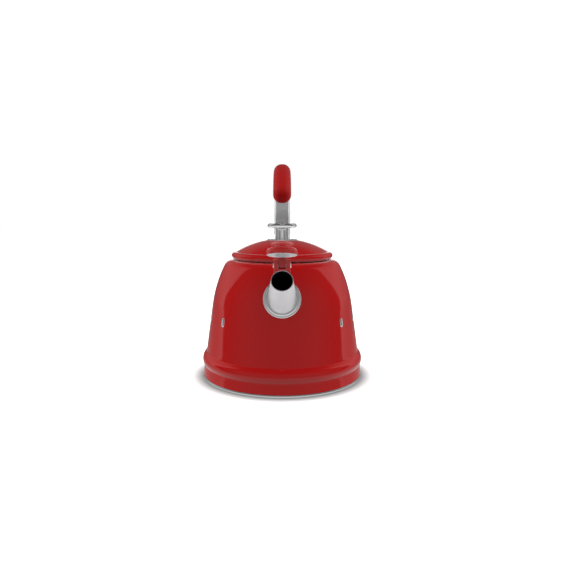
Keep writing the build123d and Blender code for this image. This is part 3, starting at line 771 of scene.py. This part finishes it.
barrelBore = cap["barrel"] - cap["barrelSheet"]
capRing("capPlate", "cap_plate", cap["radius"] - cap["inset"], cap["barrel"], cap["gap"],
        cap["plate"], cap["plateFold"])
capRing("whistleBarrel", "whistle_barrel", cap["barrel"], barrelBore, cap["gap"],
        shellTop - cap["wall"] - cap["gap"], cap["discFold"])
capRing("whistleLowerDisc", "whistle_lower_disc", barrelBore, cap["discHole"], cap["lowerDisc"],
        cap["disc"], cap["discFold"])
capRing("whistleUpperDisc", "whistle_upper_disc", barrelBore, cap["discHole"], cap["upperDisc"],
        cap["disc"], cap["discFold"])
print("hinge and whistle made")

lid = {
    "rimTube": 4.0, "rimMiddle": 55.2, "joinInset": 0.8, "tuck": 30.0, "gap": 0.4,
    "domeRadius": 107.0, "domeTop": 162.1, "seat": 16.8, "bore": 2.0, "collar": 50.0,
    "collarSheet": 0.8, "collarBottom": 130.5, "seal": 1.1, "sealLip": 2.2, "sealBottom": 132.5,
    "lipGap": 0.3, "fold": 0.1, "sealRound": 0.4, "lipRound": 0.3, "collarRound": 0.3,
}
neckTop = roughWall[:, 1].max()
rimHeight = neckTop + lid["gap"] + lid["rimTube"]
domeCentre = lid["domeTop"] - lid["domeRadius"]


# Height of the lid's dome at a radius, on its outside or a depth below it.
def domeHeight(radius, depth=0.0):
    return domeCentre + np.sqrt((lid["domeRadius"] - depth) ** 2 - radius**2)


seatHeight = domeHeight(lid["seat"])
joinRadius = lid["rimMiddle"] - lid["joinInset"]
rimEnd = np.array([lid["rimMiddle"], rimHeight]) - lid["rimTube"] * headingOf(90 - lid["tuck"])
domeLine = np.linspace(lid["seat"], joinRadius, 50)
domePath = np.stack([domeLine, domeHeight(domeLine)], axis=1)
rimPath = arcThrough(domePath[-1], (lid["rimMiddle"] + lid["rimTube"], rimHeight), rimEnd, 40)
lidPath = np.concatenate([[(lid["bore"], seatHeight)], domePath, rimPath])
lidFine = paced(softened(lidPath, 0.1, 0.6), 2.5, 6.0)
lidOutline = sheetOutline(lidFine, -body["sheet"])
settle(makePiece("lidShell", [turned(lidOutline)], [materials["redEnamel"]]), "lid_shell")

collarInner = lid["collar"] - lid["collarSheet"]
collarTop = domeHeight(lid["collar"], body["sheet"])
collarCorners = [(lid["collar"], lid["collarBottom"]), (lid["collar"], collarTop),
                 (collarInner, collarTop), (collarInner, lid["collarBottom"])]
settle(makePiece("lidCollar", [turned(roundedOutline(collarCorners, lid["collarRound"]))],
                 [materials["footSteel"]]), "lid_collar")

sealOuter = lid["collar"] + lid["seal"]
lipOuter = lid["collar"] + lid["sealLip"]
lipBottom = neckTop + lid["lipGap"]
lipTop = lipBottom + lid["seal"]
sealCorners = [(lid["collar"], lid["sealBottom"]), (sealOuter, lid["sealBottom"]),
               (sealOuter, lipBottom), (lipOuter, lipBottom), (lipOuter, lipTop),
               (lid["collar"], lipTop)]
sealRounds = [lid["fold"], lid["sealRound"], lid["fold"], lid["lipRound"], lid["sealRound"],
              lid["fold"]]
settle(makePiece("lidSeal", [turned(roundedOutline(sealCorners, sealRounds))],
                 [materials["silicone"]]), "lid_seal")

knob = {
    "plate": 17.3, "plateThickness": 1.4, "plateRound": 0.6, "stem": 4.8, "radius": 17.0,
    "thickness": 5.2, "top": 180.0, "flare": 3.0, "screw": 2.0, "screwDepth": 9.0,
    "screwHead": 3.8, "screwHeadHeight": 2.6, "headRound": 0.8, "tipRound": 0.3,
    "washer": 6.0, "washerThickness": 1.0, "washerRound": 0.2, "fold": 0.1, "plateFoot": 0.3,
}
plateTopHeight = seatHeight + knob["plateThickness"]
plateCorners = [(knob["screw"], seatHeight), (knob["plate"], seatHeight),
                (knob["plate"], plateTopHeight), (knob["screw"], plateTopHeight)]
plateRounds = [knob["fold"], knob["plateFoot"], knob["plateRound"], knob["fold"]]
settle(makePiece("knobPlate", [turned(roundedOutline(plateCorners, plateRounds), 128)],
                 [materials["chrome"]]), "knob_plate")

discBottom = knob["top"] - knob["thickness"]
edgeRadius = knob["thickness"] / 2
edgeCentre = knob["radius"] - edgeRadius
screwTop = plateTopHeight + knob["screwDepth"]
flareCentre = (knob["stem"] + knob["flare"], discBottom - knob["flare"])
flareArc = arcOf(flareCentre, knob["flare"], 180, 90, 12)
edgeArc = arcOf((edgeCentre, knob["top"] - edgeRadius), edgeRadius, -90, 90, 24)
knobOutline = np.concatenate([
    [(0, screwTop), (knob["screw"], screwTop), (knob["screw"], plateTopHeight),
     (knob["stem"], plateTopHeight), (knob["stem"], plateTopHeight + 0.2)],
    flareArc, edgeArc, [(edgeCentre - 0.4, knob["top"]), (0, knob["top"])]])
settle(makePiece("knob", [turned(knobOutline, 128)], [materials["chrome"]], wrapRows=False),
       "knob")

washerTop = seatHeight - body["sheet"]
washerBottom = washerTop - knob["washerThickness"]
washerCorners = [(knob["screw"], washerBottom), (knob["washer"], washerBottom),
                 (knob["washer"], washerTop), (knob["screw"], washerTop)]
settle(makePiece("knobWasher", [turned(roundedOutline(washerCorners, knob["washerRound"]), 64)],
                 [materials["innerSteel"]]), "knob_washer")
headBottom = washerBottom - knob["screwHeadHeight"]
screwCorners = [(0, headBottom), (knob["screwHead"], headBottom),
                (knob["screwHead"], washerBottom), (knob["screw"], washerBottom),
                (knob["screw"], screwTop), (0, screwTop)]
screwRounds = [0, knob["headRound"], knob["fold"], knob["fold"], knob["tipRound"], 0]
settle(makePiece("knobScrew", [turned(roundedOutline(screwCorners, screwRounds), 64)],
                 [materials["innerSteel"]], wrapRows=False), "knob_screw")
print("lid and knob made")

handle = {
    "start": (71.5, 122.6), "heading": 35.0,
    "strapBends": [(20.0, 58.0), (430.0, 6.0), (62.0, 26.0)],
    "gripBends": [(62.0, 55.0), (90.0, 42.0)],
    "width": 22.0, "sideAngle": 89.2, "thickness": 7.0, "channel": 15.0, "channelDepth": 1.3,
    "gripWidth": 19.5, "gripDepth": 22.0, "gripCorner": 9.0, "gripEndRound": 8.0,
    "gripEndLength": 9.0, "padHeight": 122.0, "padWidth": 26.0, "padLength": 32.0,
    "padCorner": 4.0, "padSheet": 1.6, "footHeight": 26.0, "footReach": 24.0, "footTurn": 15.0,
    "backRound": 2.4, "rimRound": 1.75, "lipRound": 1.35, "channelRound": 0.5,
    "gripBackRound": 1.4, "lug": (10.0, 14.0, 12.0), "lugCorner": 1.0, "lugEdge": 0.5,
    "rivet": 2.8, "rivetRise": 0.9, "rivetShank": 1.6, "rivetSink": 0.6, "rivetFold": 0.1,
    "rivetSpacing": 7.4,
}


# Line of bends joined end to end, each a radius and a turn: gives the distance, the point and the
# heading at every station. Within a bend the point is the chord of the angle turned so far.
def bendLine(start, heading, bends, stride=1.5):
    point, angle, gone = np.array(start, float), heading, 0.0
    distances, points, angles = [np.array([0.0])], [point[None]], [np.array([angle])]
    for radius, turn in bends:
        length = radius * np.radians(turn)
        step = np.linspace(0, 1, int(length / stride) + 3)[1:]
        swept = turn * step
        chord = 2 * radius * np.sin(np.radians(swept) / 2)
        toward = np.radians(angle + swept / 2)
        points.append(point + chord[:, None] * np.stack([np.cos(toward), np.sin(toward)], axis=1))
        distances.append(gone + length * step)
        angles.append(angle + swept)
        point, angle, gone = points[-1][-1], angle + turn, gone + length
    return np.concatenate(distances), np.concatenate(points), np.concatenate(angles)


# Section (x, v) carried along the line: v stands square to the heading, toward the inside of the
# arch. sections has one outline for every station.
def carried(points, angles, sections):
    square = np.radians(angles + 90)
    grid = np.empty(sections.shape[:2] + (3,))
    grid[..., 0] = sections[..., 0]
    grid[..., 1] = points[:, None, 0] + sections[..., 1] * np.cos(square)[:, None]
    grid[..., 2] = points[:, None, 1] + sections[..., 1] * np.sin(square)[:, None]
    return grid


padSlope = haunchSlope(handle["padHeight"])
padPlace = np.array([0, wallReach(handle["padHeight"]), handle["padHeight"]])
padOut = np.array([0, *headingOf(padSlope)])
padUp = np.array([0, *headingOf(padSlope + 90)])

distance, strapPoints, strapAngles = bendLine(
    handle["start"], handle["heading"], handle["strapBends"])
sectionAngles = np.where(
    distance < handle["footTurn"],
    np.interp(distance, [0, handle["footTurn"]],
              [padSlope, np.interp(handle["footTurn"], distance, strapAngles)]),
    strapAngles)
halfWidth, halfThick = handle["width"] / 2, handle["thickness"] / 2
halfChannel, floorLevel = handle["channel"] / 2, halfThick - handle["channelDepth"]
strapCorners = [
    (-halfWidth, -halfThick), (halfWidth, -halfThick), (halfWidth, halfThick),
    (halfChannel, halfThick), (halfChannel, floorLevel), (-halfChannel, floorLevel),
    (-halfChannel, halfThick), (-halfWidth, halfThick),
]
strapRounds = [handle["backRound"], handle["backRound"], handle["rimRound"], handle["lipRound"],
               handle["channelRound"], handle["channelRound"], handle["lipRound"],
               handle["rimRound"]]
strapSection = roundedOutline(strapCorners, strapRounds)
# the rims narrow toward the grip while the channel keeps its width
above = np.maximum(strapPoints[:, 1] - handle["padHeight"] + handle["footHeight"], 0)
narrow = halfWidth - above * np.tan(np.radians(90 - handle["sideAngle"]))
side = np.abs(strapSection[None, :, 0])
beyond = np.maximum(side - halfChannel, 0) / (halfWidth - halfChannel)
sideways = np.sign(strapSection[None, :, 0]) * np.where(
    beyond > 0, halfChannel + beyond * (narrow[:, None] - halfChannel), side)
# the foot swells: half a cosine wave of extra thickness that dies out along the strap
swell = np.where(distance < handle["footReach"],
                 0.5 + 0.5 * np.cos(np.pi * distance / handle["footReach"]), 0)
swell = swell * (handle["footHeight"] / 2 - halfThick)
outward = strapSection[None, :, 1] + np.sign(strapSection[None, :, 1]) * swell[:, None]
sections = np.stack([np.broadcast_to(sideways, outward.shape), outward], axis=2)
strapGrid = carried(strapPoints, sectionAngles, sections)
inChannel = (side[0] < halfChannel) & (np.abs(strapSection[:, 1] - floorLevel) < 0.1)
channelZones = np.tile(inChannel & np.roll(inChannel, -1), (len(strapGrid) + 1, 1))
arm = makePiece("handleArm", [capped(strapGrid)],
                [materials["armChrome"], materials["armSatin"]], wrapRows=False,
                zones=channelZones, sharp=50)
settle(arm, "handle_arm")

# grip: the section drawn in at both ends, by a quarter circle at the front and a small one behind
_, gripPoints, gripAngles = bendLine(strapPoints[-1], strapAngles[-1], handle["gripBends"])
run = handle["gripEndLength"] - handle["gripEndRound"]
f = np.radians(np.linspace(0, 90, 14))
ahead = run + handle["gripEndRound"] * np.sin(f)
lastAim = headingOf(gripAngles[-1])
gripSpots = np.concatenate([gripPoints, gripPoints[-1] + ahead[:, None] * lastAim])
gripTurns = np.concatenate([gripAngles, np.full(len(f), gripAngles[-1])])
inset = np.concatenate([np.zeros(len(gripPoints)), handle["gripEndRound"] * (1 - np.cos(f))])
behind = np.linspace(0, 1, 6)
startInset = handle["gripBackRound"] * (1 - np.sqrt(1 - (1 - behind) ** 2))
startRun = (behind * handle["gripBackRound"])[:, None]
startSpots = gripPoints[0] + startRun * headingOf(gripAngles[0])
gripSpots = np.concatenate([startSpots, gripSpots[2:]])
gripTurns = np.concatenate([np.full(len(behind), gripAngles[0]), gripTurns[2:]])
inset = np.concatenate([startInset, inset[2:]])
cornerX = handle["gripWidth"] / 2 - handle["gripCorner"]
cornerY = handle["gripDepth"] / 2 - handle["gripCorner"]
gripSection, gripOut = stringOutline(
    [(cornerX, cornerY), (-cornerX, cornerY), (-cornerX, -cornerY), (cornerX, -cornerY)],
    [handle["gripCorner"]] * 4, 96)
gripGrid = carried(gripSpots, gripTurns, gripSection[None] - inset[:, None, None] * gripOut[None])
grip = makePiece("handleGrip", [capped(gripGrid)], [materials["gripRed"]], wrapRows=False,
                 sharp=60)
settle(grip, "handle_grip")

# pad: a rounded plate that lies on the wall, with the lug that the arm is riveted to
padX = handle["padWidth"] / 2 - handle["padCorner"]
padY = handle["padLength"] / 2 - handle["padCorner"]
padOutline, _ = stringOutline([(padX, padY), (-padX, padY), (-padX, -padY), (padX, -padY)],
                              [handle["padCorner"]] * 4, 96)
# share of the outline and share of the sheet: out along the wall, round the edge, back over
share = np.array([0, 0.3, 0.6, 0.85, 1, 1, 0.985, 0.95, 0.9, 0.6, 0.3, 0])[:, None, None]
raised = np.array([0, 0, 0, 0, 0, 0.554, 0.873, 0.987, 1, 1, 1, 1])[:, None]
padBack = 0.03
height = padBack + raised * (handle["padSheet"] - padBack)
flat = share * padOutline[None]
padPoints = padPlace + flat[..., :1] * xAxis + flat[..., 1:] * padUp
pad = ontoWall(padPoints, padOut, np.broadcast_to(height, flat.shape[:2]))
lugWidth, lugHeight, lugLength = handle["lug"]
lugSpot = {"origin": padPlace, "x": xAxis, "y": padOut, "z": padUp}
lugEnd = handle["padSheet"] + lugLength
lugRound = handle["lugCorner"]
lugTop = lugHeight / 2 - lugRound
lugOutline = stringOutline(
    [(lugRound, -lugTop), (lugRound, lugTop), (lugEnd - lugRound, -lugTop),
     (lugEnd - lugRound, lugTop)], [lugRound] * 4, 64)
lug = placed(roundPlate(*lugOutline, lugWidth / 2, handle["lugEdge"]), lugSpot)
settle(makePiece("handleMount", [pad, lug], [materials["armChrome"]], wrapRows=False),
       "handle_mount")

rivetCentre = handle["padSheet"] + lugLength / 2
rivetEnd = halfWidth + handle["rivetRise"]
rivetSeat = halfWidth - handle["rivetSink"]
rivetCorners = [(0, -rivetEnd), (handle["rivet"], -rivetEnd), (handle["rivet"], -rivetSeat),
                (handle["rivetShank"], -rivetSeat), (handle["rivetShank"], rivetSeat),
                (handle["rivet"], rivetSeat), (handle["rivet"], rivetEnd), (0, rivetEnd)]
rivetRounds = [0, handle["rivetRise"], *[handle["rivetFold"]] * 4, handle["rivetRise"], 0]
rivetOutline = roundedOutline(rivetCorners, rivetRounds)
rivetGrids = [placed(turned(rivetOutline, 48), {
    "origin": padPlace + rivetCentre * padOut + s * handle["rivetSpacing"] / 2 * padUp,
    "x": padOut, "y": padUp, "z": xAxis}) for s in (-1, 1)]
settle(makePiece("handleRivets", rivetGrids, [materials["chrome"]], wrapRows=False),
       "handle_rivets")
print("handle made")

trim = {"angles": (51.0, 77.0, 103.0, 129.0), "height": 72.5, "length": 9.6, "width": 4.6,
        "rise": 0.6, "edge": 0.45, "crown": 0.08, "crownIn": 1.2, "crownDip": 0.02, "back": 0.03}


# One pill: a stadium outline drawn in toward its middle line as it rises off the wall.
def pill(side, angle):
    turn, lean = np.radians(angle), np.radians(body["lean"])
    out = np.array([side * np.sin(turn), -np.cos(turn), 0])
    normal = out * np.cos(lean) + zAxis * np.sin(lean)
    along = np.cross(zAxis, out)
    upward = np.cross(normal, along)
    end = trim["width"] / 2
    straight = trim["length"] / 2 - end
    outline, outward = stringOutline([(0, -straight), (0, straight)], [end] * 2, 64)
    f = np.radians(np.linspace(0, 90, 6))
    drawn = np.concatenate([[end, 0], trim["edge"] * (1 - np.cos(f)), [trim["crownIn"], end]])
    edgeRise = trim["rise"] - trim["crown"] - trim["edge"] * (1 - np.sin(f))
    raised = np.concatenate([[trim["back"]] * 2, edgeRise,
                             [trim["rise"] - trim["crownDip"], trim["rise"]]])
    flat = outline[None] - drawn[:, None, None] * outward[None]
    centre = out * wallReach(trim["height"]) + zAxis * trim["height"]
    points = centre + flat[..., :1] * along + flat[..., 1:] * upward
    return ontoWall(points, normal, np.broadcast_to(raised[:, None], flat.shape[:2]))


pills = [pill(side, angle) for side in (-1, 1) for angle in trim["angles"]]
settle(makePiece("sideTrim", pills, [materials["chrome"]], wrapRows=False), "side_trim")
print("side trim made")

studio = {
    "floorSize": 6.0, "floorColour": 0.93, "floorGlow": 0.62, "shadeInner": 0.084,
    "shadeOuter": 0.117, "base": 0.12, "sides": 2.9, "top": 0.55, "under": 0.12,
    "front": 0.34, "overhead": 0.1, "behind": 0.09, "below": 0.78, "card": 1.5,
    "bandGlow": 0.72, "bandEdge": 108.0, "bandRise": 60.0, "bandDrop": 110.0,
    "bandFade": (18.5, 48.0), "panelGlow": 0.35, "panelPlace": (1.2, 0.3, 0.6),
    "panelTall": 1.6, "panelWide": 0.8, "floorRough": 0.9,
}
# where each part of the light begins and ends, by the direction's height or forwardness
falloffs = {
    "overhead": (0.2, 0.8), "front": (-0.2, 0.9), "below": (-0.05, -0.5),
    "cardAhead": (-0.93, -0.97), "cardTop": (0.22, 0.17), "cardBottom": (-0.02, 0.0),
    "bandSoft": (0.05, 0.35), "bandStart": (0.0, 4.0), "bandTop": (0.8, 0.55),
    "bandBottom": (-0.35, -0.1), "bandStraight": 0.1, "under": (-0.6, 0.1),
}
size = studio["floorSize"] / 2
floorMesh = bpy.data.meshes.new("floor")
floorMesh.from_pydata([(-size, -size, 0), (size, -size, 0), (size, size, 0), (-size, size, 0)],
                      [], [(0, 1, 2, 3)])
floor = bpy.data.objects.new("floor", floorMesh)
bpy.context.scene.collection.objects.link(floor)
floor.visible_glossy = False
floor.visible_diffuse = False


# White floor, glowing evenly bright, with a painted contact shadow: it darkens where the kettle stands close over
# it.
def floorFinish():
    material = bpy.data.materials.new("paleFloor")
    material.use_nodes = True
    tree = material.node_tree
    shader = tree.nodes["Principled BSDF"]
    distance = addNode(tree, "ShaderNodeVectorMath", {
        0: addNode(tree, "ShaderNodeTexCoord").outputs["Object"]}, operation="LENGTH")
    # painted contact shadow: the floor's colour and glow fall off toward the kettle's foot
    shade = addNode(tree, "ShaderNodeMapRange", {
        "Value": distance.outputs["Value"], "From Min": studio["shadeInner"],
        "From Max": studio["shadeOuter"]}, interpolation_type="SMOOTHSTEP")
    base = addNode(tree, "ShaderNodeMath", {
        0: shade.outputs[0], 1: studio["floorColour"]}, operation="MULTIPLY")
    glow = addNode(tree, "ShaderNodeMath", {
        0: shade.outputs[0], 1: studio["floorGlow"]}, operation="MULTIPLY")
    tree.links.new(base.outputs[0], shader.inputs["Base Color"])
    tree.links.new(glow.outputs[0], shader.inputs["Emission Strength"])
    shader.inputs["Emission Color"].default_value = (1, 1, 1, 1)
    shader.inputs["Roughness"].default_value = studio["floorRough"]
    shader.inputs["Specular IOR Level"].default_value = 0.0
    return material


floorMesh.materials.append(floorFinish())


# Studio seen by each kind of ray: white behind the object; for the diffuse light, strongest from
# both sides and the top; in reflections a grey front that fades toward the top and the back, with
# a low white card behind.
def studioWorld():
    world = bpy.data.worlds.new("studio")
    world.use_nodes = True
    world.cycles.sampling_method = "NONE"
    tree = world.node_tree

    def calculate(operation, first, second, third=0.0):
        return addNode(tree, "ShaderNodeMath", {0: first, 1: second, 2: third},
                       operation=operation).outputs[0]

    def ramp(value, span, start=0.0, end=1.0):
        return addNode(tree, "ShaderNodeMapRange", {
            "Value": value, "From Min": span[0], "From Max": span[1], "To Min": start,
            "To Max": end}, interpolation_type="SMOOTHSTEP").outputs[0]

    def between(share, first, second):
        return addNode(tree, "ShaderNodeMix", {0: share, 2: first, 3: second}).outputs[0]

    across, deep, rise = addNode(tree, "ShaderNodeSeparateXYZ", {
        0: addNode(tree, "ShaderNodeTexCoord").outputs["Generated"]}).outputs
    forward = calculate("MULTIPLY", deep, -1.0)
    ahead = ramp(forward, falloffs["front"], studio["behind"], studio["front"])
    level = between(ramp(rise, falloffs["overhead"]), ahead, studio["overhead"])
    mirror = between(ramp(rise, falloffs["below"]), level, studio["below"])

    # a low card behind the kettle, for the flat bright tops
    cardHeight = calculate("MULTIPLY", ramp(rise, falloffs["cardTop"]),
                           ramp(rise, falloffs["cardBottom"]))
    card = calculate("MULTIPLY", ramp(forward, falloffs["cardAhead"]), cardHeight)
    mirror = calculate("MULTIPLY_ADD", card, studio["card"], mirror)

    # a softbox on each side: sharp at its front edge, whose bearing changes with the height,
    # and fading toward the back
    bearing = calculate("DEGREES", calculate(
        "ARCTAN2", calculate("ABSOLUTE", across, 0.0), forward), 0.0)
    high = calculate("MAXIMUM", calculate("SUBTRACT", rise, falloffs["bandStraight"]), 0.0)
    edge = calculate("MULTIPLY_ADD", high, -studio["bandRise"], studio["bandEdge"])
    edge = calculate("MULTIPLY_ADD", calculate("MINIMUM", rise, 0.0), studio["bandDrop"], edge)
    past = calculate("SUBTRACT", bearing, edge)
    fade = ramp(rise, falloffs["bandSoft"], *studio["bandFade"])
    depth = calculate("MULTIPLY", calculate("DIVIDE", past, fade), -1.0)
    glow = calculate("MULTIPLY", calculate("EXPONENT", depth, 0.0),
                     ramp(past, falloffs["bandStart"]))
    bandHeight = calculate("MULTIPLY", ramp(rise, falloffs["bandTop"]),
                           ramp(rise, falloffs["bandBottom"]))
    band = calculate("MULTIPLY", glow, bandHeight)
    mirror = calculate("MULTIPLY_ADD", band, studio["bandGlow"], mirror)

    # dull surfaces are lit from the sides and from above
    soft = calculate("MULTIPLY_ADD", calculate("MULTIPLY", across, across), studio["sides"],
                     studio["base"])
    soft = calculate("MULTIPLY_ADD", calculate("MAXIMUM", rise, 0.0), studio["top"], soft)
    soft = calculate("MULTIPLY", soft, ramp(rise, falloffs["under"], studio["under"], 1.0))
    ray = addNode(tree, "ShaderNodeLightPath").outputs
    seen = between(ray["Is Camera Ray"], between(ray["Is Diffuse Ray"], mirror, soft), 1.0)
    tree.links.new(seen, tree.nodes["Background"].inputs["Strength"])
    tree.nodes["Background"].inputs["Color"].default_value = (1, 1, 1, 1)
    return world


bpy.context.scene.world = studioWorld()
bpy.context.scene.view_settings.view_transform = "Standard"

for sign in (-1, 1):
    light = bpy.data.lights.new("softbox", "AREA")
    light.shape = "RECTANGLE"
    light.size, light.size_y = studio["panelTall"], studio["panelWide"]
    light.energy = np.pi * light.size * light.size_y * studio["panelGlow"]
    panel = bpy.data.objects.new("softbox", light)
    panel.location = np.array(studio["panelPlace"]) * (sign, 1, 1)
    panel.rotation_euler = (0, sign * np.pi / 2, 0)
    panel.visible_camera = False
    panel.visible_glossy = False
    bpy.context.scene.collection.objects.link(panel)

view = {"place": (0.0004, -0.6728, 0.2047), "dip": 0.14, "lens": 36.56}
camera = bpy.data.objects.new("camera", bpy.data.cameras.new("camera"))
camera.data.lens = view["lens"]
camera.data.clip_start = 0.01
camera.location = view["place"]
camera.rotation_euler = (np.pi / 2 - view["dip"], 0, 0)
bpy.context.scene.collection.objects.link(camera)
bpy.context.scene.camera = camera
print("floor, light and camera set")
